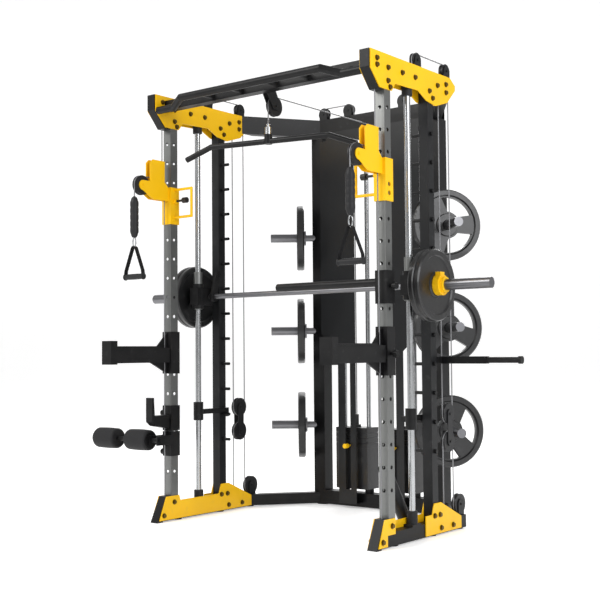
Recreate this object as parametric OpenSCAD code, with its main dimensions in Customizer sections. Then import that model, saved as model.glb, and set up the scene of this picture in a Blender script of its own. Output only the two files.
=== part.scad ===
// Smith machine with cable trolleys, twin weight stacks, plate storage and a lat bar.
// X runs across the machine, Y towards its back and Z up from the floor, in millimetres.
// The origin is on the floor at the middle of the machine.

/* [Frame] */
// Height of the top beams above the floor
frame_h = 2190; // [1950:5:2400]
// Distance between the two side frames, centre to centre
frame_w = 1332; // [1250:2:1500]
// Distance from front post to rear upright, centre to centre
bay_depth = 370; // [350:5:450]
// Distance from front post to rear column, centre to centre
column_setback = 940; // [900:5:1100]
// Distance between the rear columns, centre to centre
column_spacing = 770; // [740:2:820]
// Side of the square frame tube
tube = 50; // [46:1:56]
// Wall of all steel tubes
tube_wall = 3; // [2:0.5:4]
// Side of the square rear columns
column = 75; // [60:1:80]
// Height of the side base tubes
base_h = 60; // [50:1:75]
// Height of the side top beams
beam_h = 80; // [70:1:90]
// Height of the rear top beams
rear_beam_h = 100; // [80:1:120]
// Thickness of the yellow gusset plates
plate_t = 5; // [4:0.5:8]
// How far the top beams reach in front of the posts
nose_reach = 142; // [120:1:180]
// How far the top plates reach behind the uprights
tail_reach = 230; // [180:5:260]
// How far the feet reach in front of the posts
foot_reach = 125; // [100:1:160]
// How far the side bases reach behind the uprights
base_tail = 280; // [250:5:320]
// Height of the floor pads
pad_h = 6; // [4:1:10]

/* [Adjustment holes] */
// Diameter of the holes in the front posts
hole_d = 18; // [14:1:22]
// Pitch of the holes
hole_pitch = 100; // [50:5:120]
// Height of the lowest hole
hole_first_z = 250; // [200:5:320]

/* [Smith bar] */
// Diameter of the guide rods
rod_d = 30; // [25:1:40]
// Distance from front post to guide rod
rod_setback = 205; // [190:5:240]
// Distance from guide rod to bar
bar_offset = 65; // [60:1:70]
// Height of the bar at rest
bar_z = 1162; // [1150:1:1180]
// Diameter of the bar grip
bar_d = 28; // [25:1:32]
// Diameter of the bar sleeves
sleeve_d = 50; // [48:1:51]
// Overall length of the bar
bar_len = 2110; // [2080:10:2200]
// Length of the linear bearings
bearing_len = 200; // [120:5:220]
// Diameter of the hook pins
pin_d = 16; // [12:1:18]
// Reach of the hook pins
pin_len = 50; // [40:1:55]
// Pitch of the hook pins
pin_pitch = 136; // [125:1:140]
// Height of the lowest hook pin
pin_first_z = 392; // [380:1:400]
// Number of hook pins on each upright
pin_count = 12; // [10:1:12]
// Angle by which the hooks are turned away from the pins
hook_release = 50; // [45:1:55]

/* [Weights] */
// Diameter of the plates on the bar
bar_plate_d = 334; // [280:2:350]
// Thickness of the plates on the bar
bar_plate_t = 30; // [20:1:34]
// Diameter of the stored plates
store_plate_d = 370; // [320:2:400]
// Thickness of the stored plates
store_plate_t = 42; // [25:1:50]
// Angle of the storage pegs from straight ahead
peg_splay = 52; // [40:1:60]
// Length of a storage peg from the column's centre
peg_len = 292; // [240:2:320]
// Heights of the storage pegs
peg_low_z = 447; // [420:1:470]
// Vertical distance between the storage pegs
peg_pitch = 533; // [450:1:550]
// Number of plates in a stack
stack_count = 12; // [10:1:14]
// How many of them hang on the selector
stack_picked = 4; // [2:1:6]
// Thickness of a stack plate
stack_t = 28; // [20:1:32]
// Width of a stack plate
stack_w = 210; // [200:1:220]
// Depth of a stack plate
stack_d = 110; // [90:1:116]
// Distance of each stack from the middle
stack_x = 150; // [140:1:160]
// Distance between the two guide rods of a stack
stack_rod_gap = 160; // [150:1:170]
// Diameter of the stack guide rods
stack_rod_d = 25; // [20:1:30]

/* [Cable trolleys] */
// Height of a trolley's middle
trolley_z = 1625; // [1500:1:1640]
// Height of a trolley
trolley_h = 192; // [160:2:200]
// Wall of a trolley's sleeve
trolley_wall = 6; // [5:0.5:8]
// Diameter of the cable pulleys
pulley_d = 100; // [90:1:106]
// Thickness of the cable pulleys
pulley_t = 22; // [18:1:24]
// Diameter of the cables
cable_d = 6; // [5:0.5:8]

/* [Attachments] */
// Length of the spotter arms in front of the posts
arm_reach = 443; // [380:1:500]
// Height of the spotter arms' upper face
arm_z = 888; // [840:1:900]
// Width of the spotter arms
arm_w = 66; // [64:1:76]
// Height of the J-hooks' cradle
j_hook_z = 552; // [540:1:560]
// Diameter of the foam rollers
roller_d = 108; // [90:1:112]
// Length of a foam roller
roller_len = 152; // [120:2:160]
// Height of the roller bar
roller_z = 415; // [400:1:420]
// Half the length of the lat bar
lat_half = 465; // [450:5:580]
// Angle by which the lat bar hangs turned
lat_turn = 12; // [0:1:30]
// Height of the lat bar
lat_z = 1885; // [1850:1:1920]

/* [Hidden] */
$fn = 48;

// Clearances
slide_gap = 0.05;   // radial, shaft in bearing
part_gap = 0.3;     // between separate bodies
loose_gap = 1.5;    // what is fitted or turned by hand

// Colours
yellow = "#f5c400";
black = "#1c1c1e";
graphite = "#3a3b3e";
steel = "#9a9c98";
chrome = "#c9cbce";

// Levels and stations; the front post's centre is the station that the rest is counted from
front_reach = arm_reach;
store_start = 100;
rim_edge = 6;
rear_reach = column_setback + sin(peg_splay) * store_plate_d / 2
    - cos(peg_splay) * (store_start + part_gap + rim_edge);
post_y = (front_reach - rear_reach) / 2;
half = tube / 2;
side_x = frame_w / 2;
column_x = column_spacing / 2;
base_top = pad_h + base_h;
beam_z = frame_h - beam_h;
rear_beam_z = frame_h - rear_beam_h;
base_end = bay_depth + base_tail;
bar_setback = rod_setback + bar_offset;
tail_y = bay_depth + tail_reach;
plate_x = half + plate_t;
rear_y = post_y + column_setback;
rear_base_top = pad_h + column;

// Hooks and pins
hook_pin_index = round((bar_z - pin_first_z) / pin_pitch);
hook_pin_z = pin_first_z + hook_pin_index * pin_pitch;
hook_radius = norm([bay_depth - bar_setback, hook_pin_z - bar_z]);
hook_angle = atan2(hook_pin_z - bar_z, bay_depth - bar_setback);
stop_pin_z = pin_first_z + pin_pitch;
hook_x = half + pin_len - 18;

// Bar stations, counted outwards from the side frame's centre plane
sleeve_start = half + 16;
plate_start = sleeve_start + 10;
collar_start = plate_start + 2 * (bar_plate_t + part_gap);
collar_len = 46;

// Cable stations on a side frame
groove = cable_d + 1;
line_r = pulley_d / 2 - groove + part_gap + cable_d / 2;
small_d = 70;
small_r = small_d / 2 - groove + part_gap + cable_d / 2;
float_y = bay_depth + 162;
float_z = 492;
float_span = 66;
low_y = float_y + 2 * line_r;
low_z = base_top + pulley_d / 2 + loose_gap;
top_wheel_z = frame_h + 36;
front_wheel_y = 282;
rear_wheel_y = float_y + line_r - small_r;
beam_end = tail_y - 40;

// Trolley
trolley_in = half + part_gap;
trolley_out = trolley_in + trolley_wall;
pull_z = hole_first_z + hole_pitch * round((trolley_z + 25 - hole_first_z) / hole_pitch);
shoe_y = -trolley_out - 62;
wheel_y = shoe_y - 118;
wheel_z = trolley_z + 88;
handle_y = wheel_y - line_r;
run_y = shoe_y + line_r;
line_slot = cable_d + 6;
cage_h = 228;
cage_top = trolley_z + cage_h;
pull_pin_d = 12;

// Weight stacks
stack_z = rear_base_top + 24;
stack_top = stack_z + stack_count * stack_t;
picked_z = stack_top - stack_picked * stack_t;
selector_z = picked_z + stack_t / 2;
handle_pull = 900;
stack_ratio = 0.5;
guard_y = column_setback - stack_d / 2 - 30;
head_top = stack_top + 70;
stem_d = 22;
selector_d = 9;

// Handles and lat line
handle_top = wheel_z - 62;
grip_z = 1245;
grip_half = 60;
lat_wheel_y = line_r;
lat_wheel_z = beam_z - 46;
hanger_top = lat_z + 84;

// ---- Helpers

// Places a piece drawn for the right-hand frame; side is 1 for right and -1 for left
module on_side(side) {
    translate([side * side_x, post_y, 0])
        mirror([side < 0 ? 1 : 0, 0, 0])
            children();
}

module both_sides() {
    for (side = [-1, 1])
        on_side(side)
            children();
}

// Places a piece drawn about a stack's or column's own station
module at_rear(side, x) {
    translate([side * x, rear_y, 0])
        mirror([side < 0 ? 1 : 0, 0, 0])
            children();
}

module box(x0, x1, y0, y1, z0, z1) {
    translate([x0, y0, z0])
        cube([x1 - x0, y1 - y0, z1 - z0]);
}

// Open rectangular tube along Z, Y or X between two stations
module tube_z(w, d, z0, z1) {
    difference() {
        box(-w / 2, w / 2, -d / 2, d / 2, z0, z1);
        box(-w / 2 + tube_wall, w / 2 - tube_wall, -d / 2 + tube_wall, d / 2 - tube_wall, z0 - 1, z1 + 1);
    }
}

module tube_y(w, y0, y1, z0, z1) {
    difference() {
        box(-w / 2, w / 2, y0, y1, z0, z1);
        box(-w / 2 + tube_wall, w / 2 - tube_wall, y0 - 1, y1 + 1, z0 + tube_wall, z1 - tube_wall);
    }
}

module tube_x(x0, x1, d, z0, z1) {
    difference() {
        box(x0, x1, -d / 2, d / 2, z0, z1);
        box(x0 - 1, x1 + 1, -d / 2 + tube_wall, d / 2 - tube_wall, z0 + tube_wall, z1 - tube_wall);
    }
}

// Outline in the Y-Z plane, given a thickness along X
module plate_yz(points, x0, t) {
    translate([x0, 0, 0])
        rotate([90, 0, 90])
            linear_extrude(t)
                polygon(points);
}

module rod_x(x0, x1, d) {
    translate([x0, 0, 0])
        rotate([0, 90, 0])
            cylinder(d = d, h = x1 - x0);
}

module rod_y(y0, y1, d) {
    translate([0, y0, 0])
        rotate([-90, 0, 0])
            cylinder(d = d, h = y1 - y0);
}

// Round bar from one point to another
module strut(a, b, d) {
    v = b - a;
    translate(a)
        rotate([0, acos(v[2] / norm(v)), atan2(v[1], v[0])])
            cylinder(d = d, h = norm(v));
}

// Round bar along a list of points, with a welded ball at each corner
module bent_bar(points, d) {
    for (i = [0 : len(points) - 2])
        strut(points[i], points[i + 1], d);
    for (i = [1 : len(points) - 2])
        translate(points[i])
            sphere(d = d + 1);
}

// Hexagon bolt head with its washer, standing on the plane X = 0
module bolt_x() {
    rod_x(0, 1.6, 26);
    translate([1.6, 0, 0])
        rotate([0, 90, 0])
            cylinder(d = 20, h = 8, $fn = 6);
}

// Cable run that turns round a pulley: a quarter ring in the Y-Z plane
module cable_turn(y, z, r, from, to) {
    translate([0, y, z])
        rotate([90, 0, 90])
            rotate([0, 0, from])
                rotate_extrude(angle = to - from)
                    translate([r, 0])
                        circle(d = cable_d);
}

// Grooved wheel about the X axis
module pulley(d, t, bore) {
    rim = d / 2;
    bed = cable_d / 2 + part_gap;
    rotate([0, 90, 0])
        rotate_extrude()
            polygon([
                [bore / 2, -t / 2], [rim, -t / 2], [rim, -t / 2 + 3], [rim - groove, -bed],
                [rim - groove, bed], [rim, t / 2 - 3], [rim, t / 2], [bore / 2, t / 2]
            ]);
}

// ---- Side frames

foot_slant = 62;
base_start = -foot_reach + 40;
foot_plate_z = base_top + 62;
band_z = base_top + 36;
ramp_z = base_top + 86;

module bases() color(black) both_sides()
    tube_y(tube, base_start, base_end, pad_h, base_top);

module foot_plates() color(yellow) both_sides() {
    front = [-foot_reach + 12, pad_h + 4];
    front_top = [-foot_reach + 12 + foot_slant * 0.8, foot_plate_z];
    rear = [
        [bay_depth - half - 12, band_z], [bay_depth - half + 6, ramp_z],
        [bay_depth + half + 16, ramp_z], [tail_y, base_top], [tail_y, pad_h + 4]
    ];
    plate_yz(concat([front, front_top, [half + 4, foot_plate_z], [half + 12, band_z]], rear),
        -plate_x, plate_t);
    plate_yz([front, front_top, [half - 6, foot_plate_z], [half - 6, base_top - 8],
        [-half - 18, base_top - 8], [-half - 18, pad_h + 4]], half, plate_t);
    plate_yz(concat([[bay_depth - half - 70, pad_h + 4], [bay_depth - half - 70, band_z]], rear),
        half, plate_t);
}

module floor_pads() color(black) {
    both_sides()
        for (y = [half + 20, bay_depth, base_end - 30])
            translate([0, y, 0])
                cylinder(d = tube - 6, h = pad_h);
    for (side = [-1, 1])
        at_rear(side, column_x)
            cylinder(d = column, h = pad_h);
}

module front_post() {
    difference() {
        tube_z(tube, tube, base_top, beam_z);
        for (z = [hole_first_z : hole_pitch : beam_z - 110])
            translate([0, 0, z]) {
                rod_y(-tube, tube, hole_d);
                rod_x(-tube, tube, hole_d);
            }
    }
}

module posts() color(steel) both_sides()
    front_post();

module uprights() color(graphite) both_sides()
    translate([0, bay_depth, 0])
        tube_z(tube, tube, base_top, beam_z);

module hook_pins() color(black) both_sides()
    for (i = [0 : pin_count - 1])
        translate([0, bay_depth, pin_first_z + i * pin_pitch]) {
            rod_x(-half - pin_len, -half, pin_d);
            rod_x(half, half + 12, pin_d + 4);
        }

module top_beams() color(black) both_sides()
    tube_y(tube, -nose_reach + 30, beam_end, beam_z, frame_h);

module top_plates() color(yellow) both_sides() {
    outline = [
        [-nose_reach + 6, frame_h], [-nose_reach + 6, frame_h - 84], [-half - 40, frame_h - 160],
        [half + 8, frame_h - 160], [half + 36, frame_h - 122], [bay_depth - half - 86, frame_h - 116],
        [bay_depth - half - 14, frame_h - 150], [bay_depth + half + 18, frame_h - 162],
        [tail_y - 78, frame_h - 128], [tail_y, frame_h - 54], [tail_y, frame_h - 32],
        [tail_y - 48, frame_h]
    ];
    for (x = [-plate_x, half])
        plate_yz(outline, x, plate_t);
}

// Slanted foot and nose blocks and the covers of the open tube ends
module end_caps() color(black) both_sides() {
    plate_yz([
        [-foot_reach, 0], [-foot_reach + foot_slant, foot_plate_z], [-half, foot_plate_z],
        [-half, base_top], [base_start, base_top], [base_start, 0]
    ], -half, tube);
    plate_yz([
        [-nose_reach, frame_h], [-nose_reach, frame_h - 80], [-half - 44, frame_h - 166],
        [-half, frame_h - 166], [-half, beam_z], [-nose_reach + 30, beam_z],
        [-nose_reach + 30, frame_h]
    ], -half, tube);
    box(-half, half, base_end, base_end + 4, pad_h, base_top);
    box(-half, half, beam_end, beam_end + 4, beam_z, frame_h);
}

module guide_rods() color(chrome) both_sides()
    translate([0, rod_setback, base_top + 10])
        cylinder(d = rod_d, h = beam_z - base_top - 20);

// Rod flanges with rubber buffers, and the cushions under the weight stacks
module rod_mounts() color(black) {
    buffer = 58;
    both_sides()
        translate([0, rod_setback, 0])
            for (end = [0, 1]) {
                flange_z = end == 0 ? base_top : beam_z - 10;
                buffer_z = end == 0 ? base_top + 10 : beam_z - 10 - buffer;
                translate([-half, -36, flange_z])
                    cube([tube, 72, 10]);
                translate([0, 0, buffer_z])
                    difference() {
                        cylinder(d = tube - 2 * part_gap, h = buffer);
                        translate([0, 0, -1])
                            cylinder(d = rod_d + 2 * part_gap, h = buffer + 2);
                    }
            }
    for (side = [-1, 1], x = [-1, 1])
        at_rear(side, stack_x)
            translate([x * stack_rod_gap / 2, 0, rear_base_top])
                difference() {
                    cylinder(d = stack_rod_d + 24, h = stack_z - rear_base_top);
                    translate([0, 0, -1])
                        cylinder(d = stack_rod_d + 2 * part_gap, h = stack_z);
                }
}

// Lower stop: a collar on the rod and an arm that hangs over a hook pin
module safety_stop() {
    arm_low = stop_pin_z + pin_d / 2 + part_gap;
    arm_t = 26;
    arm_x = -half - 24;
    lip_y = bay_depth + pin_d / 2 + 2;
    difference() {
        union() {
            translate([0, rod_setback, arm_low - 34])
                cylinder(d = rod_d + 22, h = 96);
            box(arm_x, arm_x + 16, rod_setback - 8, lip_y + 14, arm_low, arm_low + arm_t);
            box(arm_x, 0, rod_setback - 8, rod_setback + 8, arm_low, arm_low + arm_t);
            box(arm_x, arm_x + 16, lip_y, lip_y + 14, arm_low - pin_d - 6, arm_low);
        }
        translate([0, rod_setback, arm_low - 35])
            cylinder(d = rod_d + 2 * slide_gap, h = 98);
    }
}

module safety_stop_left() color(black) on_side(-1) safety_stop();
module safety_stop_right() color(black) on_side(1) safety_stop();

// ---- Head of the machine

rail_y = -48;
rail_z = beam_z + 6;
grip_y = -118;
inner_x = side_x - plate_x;

module pullup_frame() color(black) translate([0, post_y, 0]) {
    translate([0, rail_y, 0])
        tube_x(-inner_x, inner_x, tube, rail_z, rail_z + tube);
    grip_low_z = rail_z - 8;
    raised_y = grip_y - 40;
    raised_z = rail_z + 22;
    slope_start = inner_x - 110;
    slope_end = inner_x - 200;
    bent_bar([
        [-inner_x, grip_y, grip_low_z], [-slope_start, grip_y, grip_low_z], [-slope_end, raised_y, raised_z],
        [slope_end, raised_y, raised_z], [slope_start, grip_y, grip_low_z], [inner_x, grip_y, grip_low_z]
    ], 38);
    for (x = [-300, -110, 110, 300])
        strut([x, raised_y, raised_z], [x, rail_y, rail_z + tube / 2], 30);
    for (x = [-1, 1])
        strut([x * (inner_x - 90), grip_y, grip_low_z], [x * (inner_x - 90), rail_y, rail_z + tube / 2], 32);
}

// ---- Rear of the machine

module rear_columns() color(black)
    for (side = [-1, 1])
        at_rear(side, column_x)
            tube_z(column, column, pad_h, rear_beam_z);

// Tube from a side frame's tail to a column, cut to fit both
module slanted_tube(x0, y0, w, z0, z1, overlap) {
    run = [column_x - x0, column_setback - y0];
    translate([x0, y0, 0])
        rotate([0, 0, atan2(run[1], run[0])])
            tube_x(-overlap, norm(run) + overlap, w, z0, z1);
}

module rear_top_beams() color(black) translate([0, post_y, 0]) {
    end_x = column_x + column / 2;
    difference() {
        translate([0, column_setback, 0])
            tube_x(-end_x, end_x, tube, rear_beam_z, frame_h);
        for (x = [-1, 1])
            translate([x * stack_x, column_setback, rear_beam_z - 1])
                cylinder(d = 20, h = rear_beam_h + 2);
    }
    for (side = [-1, 1])
        mirror([side < 0 ? 1 : 0, 0, 0])
            difference() {
                slanted_tube(side_x, tail_y - 62, tube, rear_beam_z, frame_h, 30);
                box(side_x - plate_x, side_x + 200, -nose_reach, column_setback, 0, frame_h + 1);
                box(-end_x, end_x, column_setback - half, column_setback + 200, 0, frame_h + 1);
            }
}

module rear_base_beams() color(black) translate([0, post_y, 0]) {
    inner = column_x - column / 2;
    translate([0, column_setback, 0])
        tube_x(-inner, inner, column, pad_h, rear_base_top);
    for (side = [-1, 1])
        mirror([side < 0 ? 1 : 0, 0, 0])
            difference() {
                slanted_tube(side_x, base_end - 34, tube, pad_h, base_top, 30);
                box(side_x - half, side_x + 200, 0, base_end + 200, -1, base_top + 1);
                box(column_x - column / 2, column_x + column / 2, column_setback - column / 2,
                    column_setback + column, -1, base_top + 1);
            }
}

module at_peg(side, index) {
    at_rear(side, column_x)
        translate([0, 0, peg_low_z + index * peg_pitch])
            rotate([0, 0, peg_splay - 90])
                children();
}

module storage_pegs() color(chrome)
    for (side = [-1, 1], index = [0 : 2])
        difference() {
            at_peg(side, index) {
                rod_x(20, peg_len, 38);
                rod_x(store_start - 10, peg_len, 48);
                rod_x(store_start - 10, store_start, 84);
            }
            at_rear(side, column_x)
                box(-column / 2, column / 2, -column / 2, column / 2, pad_h, frame_h);
        }

// One grip window of a plate, a ring segment with straight ends
function arc(r, from, to, steps) =
    [for (i = [0 : steps]) let (a = from + (to - from) * i / steps) [r * cos(a), r * sin(a)]];

module grip_window(r_in, r_out, spread) {
    polygon(concat(arc(r_out, -spread, spread, 16), arc(r_in, spread * 0.62, -spread * 0.62, 8)));
}

// Weight plate about the X axis with a thick rim, a hub and windows
module weight_plate(d, t, windows) {
    r = d / 2;
    bore = sleeve_d / 2 + loose_gap;
    rotate([0, 90, 0])
        difference() {
            rotate_extrude($fn = 96)
                polygon([
                    [bore, 0], [bore + 30, 0], [bore + 34, t * 0.22], [r - 34, t * 0.22], [r - 28, 0],
                    [r - 6, 0], [r, 6], [r, t - 6], [r - 6, t], [r - 28, t], [r - 34, t * 0.78],
                    [bore + 34, t * 0.78], [bore + 30, t], [bore, t]
                ]);
            if (windows)
                for (a = [90, 210, 330])
                    rotate([0, 0, a])
                        translate([0, 0, -1])
                            linear_extrude(t + 2)
                                grip_window(bore + 44, r - 40, 40);
        }
}

module stored_plates() color(black)
    for (side = [-1, 1], index = [0 : 2])
        at_peg(side, index)
            translate([store_start + part_gap, 0, 0])
                rotate([index * 25 + 12, 0, 0])
                    weight_plate(store_plate_d, store_plate_t, true);

module stack_rods() color(chrome)
    for (side = [-1, 1], x = [-1, 1])
        at_rear(side, stack_x)
            translate([x * stack_rod_gap / 2, 0, rear_base_top])
                cylinder(d = stack_rod_d, h = rear_beam_z - rear_base_top);

// One stack plate with its rod holes, stem hole and selector hole
module stack_plate(z, t, stem_hole) {
    difference() {
        box(-stack_w / 2, stack_w / 2, -stack_d / 2, stack_d / 2, z, z + t);
        for (x = [-1, 1])
            translate([x * stack_rod_gap / 2, 0, z - 1])
                cylinder(d = stack_rod_d + 2 * loose_gap, h = t + 2);
        translate([0, 0, z - 1])
            cylinder(d = stem_hole, h = t + 2);
        translate([0, 0, z + stack_t / 2])
            rod_y(-stack_d, 0, selector_d + 3);
    }
}

module stack_plates() color(graphite)
    for (side = [-1, 1], i = [0 : stack_count - stack_picked - 1])
        at_rear(side, stack_x)
            stack_plate(stack_z + i * stack_t, stack_t, stem_d + 8);

// Front screens of the stacks: full height with a slot for the selector, wide at the top
module stack_guards() color(graphite) {
    inner = -stack_rod_gap / 2 + 26;
    outer = stack_rod_gap / 2 - 16;
    wide = column_x - column / 2 - stack_x - 20;
    slot_w = 34;
    for (side = [-1, 1])
        translate([side * stack_x, post_y, 0])
            mirror([side < 0 ? 1 : 0, 0, 0]) {
                difference() {
                    translate([0, guard_y, 0])
                        rotate([90, 0, 0])
                            linear_extrude(3)
                                polygon([
                                    [inner, pad_h + 20], [outer, pad_h + 20], [outer, 860],
                                    [wide, 960], [wide, rear_beam_z - 40], [inner, rear_beam_z - 40]
                                ]);
                    box(-slot_w / 2, slot_w / 2, guard_y - 10, guard_y + 10, stack_z,
                        selector_z + handle_pull * stack_ratio + 30);
                }
                box(inner, outer, guard_y, column_setback - column / 2, pad_h + 22, pad_h + 26);
                box(inner, wide, guard_y, column_setback - half, rear_beam_z - 48, rear_beam_z - 44);
                box(inner, wide, column_setback - half - 4, column_setback - half, rear_beam_z - 44, rear_beam_z + 20);
            }
}

// Bolts on both faces of the yellow plates
module frame_bolts() color(chrome) both_sides()
    for (face = [-1, 1])
        mirror([face < 0 ? 1 : 0, 0, 0])
            translate([plate_x, 0, 0]) {
                for (p = [[-half - 62, -34], [-half - 62, -64], [0, -120], [16, -146], [2, -60], [120, -60],
                    [230, -60], [bay_depth - 14, -100], [bay_depth + 14, -130], [bay_depth + 60, -60],
                    [tail_y - 90, -40], [tail_y - 90, -80]])
                    translate([0, p[0], frame_h + p[1]])
                        bolt_x();
                for (p = [[-82, 34], [-8, base_top + 30], [bay_depth - 18, base_top + 30],
                    [bay_depth + 30, base_top + 30], [bay_depth + 40, 34], [bay_depth + 150, 34]])
                    translate([0, p[0], p[1]])
                        bolt_x();
            }

// ---- Pulleys

cheek_in = pulley_t / 2 + 1.5;
cheek_t = 4;
axle_d = 12;
wheel_bore = axle_d + 0.4;
cheek_w = 52;

// Two cheeks and an axle for a wheel about the X axis, from the wheel to its seat
module cheeks(y, z, seat_z) {
    for (x = [-cheek_in - cheek_t, cheek_in]) {
        translate([x, y, z])
            rod_x(0, cheek_t, cheek_w);
        box(x, x + cheek_t, y - cheek_w / 2, y + cheek_w / 2, min(z, seat_z), max(z, seat_z));
    }
    translate([0, y, z])
        rod_x(-cheek_in - cheek_t - 4, cheek_in + cheek_t + 4, axle_d);
}

// The same pair standing on the rear top beam, with its axle along Y
module rear_cheeks(x) {
    translate([x, column_setback, 0])
        rotate([0, 0, 90])
            cheeks(0, top_wheel_z, frame_h);
}

module pulley_brackets() color(graphite) {
    both_sides() {
        cheeks(front_wheel_y, top_wheel_z, frame_h);
        cheeks(rear_wheel_y, top_wheel_z, frame_h);
        cheeks(low_y, low_z, base_top);
    }
    for (side = [-1, 1])
        translate([0, post_y, 0])
            mirror([side < 0 ? 1 : 0, 0, 0])
                for (x = [stack_x + small_r, column_x - small_r])
                    rear_cheeks(x);
    rail_back = rail_y + tube / 2;
    translate([0, post_y, 0]) {
        for (x = [-cheek_in - cheek_t, cheek_in])
            plate_yz([
                [rail_back, rail_z + 4], [rail_back, rail_z + tube - 4], [lat_wheel_y - 20, rail_z + tube - 4],
                [lat_wheel_y + 24, lat_wheel_z + 20], [lat_wheel_y + 24, lat_wheel_z - 20],
                [lat_wheel_y - 24, lat_wheel_z - 20]
            ], x, cheek_t);
        translate([0, lat_wheel_y, lat_wheel_z])
            rod_x(-cheek_in - cheek_t - 4, cheek_in + cheek_t + 4, axle_d);
    }
}

module guide_pulleys() color(black) {
    both_sides()
        for (y = [front_wheel_y, rear_wheel_y])
            translate([0, y, top_wheel_z])
                pulley(small_d, pulley_t, wheel_bore);
    for (side = [-1, 1], x = [stack_x + small_r, column_x - small_r])
        translate([side * x, rear_y, top_wheel_z])
            rotate([0, 0, 90])
                pulley(small_d, pulley_t, wheel_bore);
}

module low_pulleys() color(black) both_sides()
    translate([0, low_y, low_z])
        pulley(pulley_d, pulley_t, wheel_bore);

module lat_pulley() color(black)
    translate([0, post_y + lat_wheel_y, lat_wheel_z])
        pulley(pulley_d, pulley_t, wheel_bore);

// ---- Attachments

// Channel that hooks round a post: a front plate and two side plates, with a locking pin
module post_channel(z0, z1, t, lock_z) {
    box(-half - t, half + t, -half - t, -half, z0, z1);
    for (x = [-half - t, half])
        box(x, x + t, -half, half + 8, z0, z1);
    translate([0, 0, lock_z])
        rod_x(-half - t, half + t + 14, hole_d - 2);
    translate([0, 0, lock_z])
        rod_x(half + t + 14, half + t + 34, 30);
}

// Slot that lets the line in front of a post pass through what is hung there
module line_passage(z0, z1)
    box(-line_slot / 2, line_slot / 2, run_y - line_slot / 2, run_y + line_slot / 2, z0, z1);

arm_wall = 6;
arm_back = -half - arm_wall;

module spotter_arms() color(black) both_sides() {
    lock_z = hole_first_z + hole_pitch * round((arm_z - 38 - hole_first_z) / hole_pitch);
    arm_h = 76;
    tip_len = 42;
    pad_t = 8;
    rib_t = 8;
    bracket_drop = 134;
    bracket_rise = 82;
    post_channel(arm_z - bracket_drop, arm_z + bracket_rise, arm_wall, lock_z);
    difference() {
        union() {
            tube_y(tube, -arm_reach + tip_len, arm_back, arm_z - arm_h, arm_z);
            plate_yz([[arm_back, arm_z - arm_h], [-150, arm_z - arm_h], [arm_back, arm_z - bracket_drop]],
                -rib_t / 2, rib_t);
            plate_yz([[arm_back, arm_z], [-110, arm_z], [arm_back, arm_z + bracket_rise - 4]],
                -rib_t / 2, rib_t);
        }
        line_passage(arm_z - 2 * bracket_drop, arm_z + 2 * bracket_rise);
    }
    box(-arm_w / 2, arm_w / 2, -arm_reach, -arm_reach + tip_len, arm_z - arm_h - 6, arm_z + 34);
    box(-arm_w / 2, arm_w / 2, -arm_reach + tip_len, -110, arm_z, arm_z + pad_t);
}

module j_hook() color(black) on_side(-1) {
    hook_w = 44;
    post_channel(j_hook_z - 90, j_hook_z + 38, arm_wall, hole_first_z + 3 * hole_pitch);
    difference() {
        plate_yz([
            [arm_back, j_hook_z - 80], [-130, j_hook_z - 62], [-158, j_hook_z - 40],
            [-158, j_hook_z + 82], [-144, j_hook_z + 82], [-138, j_hook_z - 10],
            [arm_back, j_hook_z - 10]
        ], -hook_w / 2, hook_w);
        line_passage(j_hook_z - 90, j_hook_z);
    }
}

roller_y = -110;
roller_end = 435;
roller_start = 40;
roller_shaft_d = 24;

module roller_bar() color(black) on_side(-1) {
    post_channel(roller_z - 84, roller_z + 42, arm_wall, hole_first_z + hole_pitch);
    difference() {
        for (x = [-half - arm_wall, half])
            box(x, x + arm_wall, roller_y - 22, arm_back, roller_z - 24, roller_z + 24);
        translate([0, roller_y, roller_z])
            rod_x(-tube, tube, roller_shaft_d);
    }
    translate([0, roller_y, roller_z]) {
        rod_x(-half - arm_wall - 8, roller_end - 6, roller_shaft_d);
        rod_x(roller_end - 5, roller_end, roller_d - 24);
        rod_x(roller_end - 6, roller_end - 5, roller_shaft_d);
        rod_x(roller_start - 5, roller_start - 1, roller_d - 24);
    }
}

module rollers() color(black) on_side(-1)
    translate([0, roller_y, roller_z])
        for (x = [roller_start, roller_end - 6 - roller_len])
            difference() {
                rod_x(x, x + roller_len, roller_d);
                rod_x(x - 1, x + roller_len + 1, roller_shaft_d + 2 * slide_gap);
            }

// Straight grip held on the inner side of the right post
module anchor_bar() color(black) on_side(1) {
    grip_z = 1168;
    grip_end = 612;
    post_channel(1072, 1220, arm_wall, hole_first_z + 9 * hole_pitch);
    translate([0, 0, grip_z])
        rod_x(-grip_end, -half - arm_wall, 38);
}

// Side grip behind the sweep of the bar's plates
module side_handle() color(black) on_side(1) {
    grip_z = 817;
    grip_y = bar_setback + bar_plate_d / 2 + 24;
    reach = 435;
    box(-half, half, bay_depth + half, bay_depth + half + 6, grip_z - 50, grip_z + 50);
    box(10, half + 2, bay_depth + half + 6, grip_y + 17, grip_z - 17, grip_z + 17);
    translate([0, grip_y, grip_z]) {
        box(half + 2, 259, -17, 17, -17, 17);
        rod_x(259, reach - 16, 28);
        rod_x(reach - 16, reach, 36);
    }
}

landmine_d = 60;
landmine_bore = 52;
landmine_floor = 60;
landmine_ear = 8;
landmine_ear_gap = landmine_d / 2 + loose_gap;
landmine_x = -plate_x - landmine_ear - landmine_ear_gap;
landmine_y = 270;
landmine_z = 54;
landmine_len = 340;
landmine_lean = 33.5;
landmine_pin_d = 14;

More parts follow.
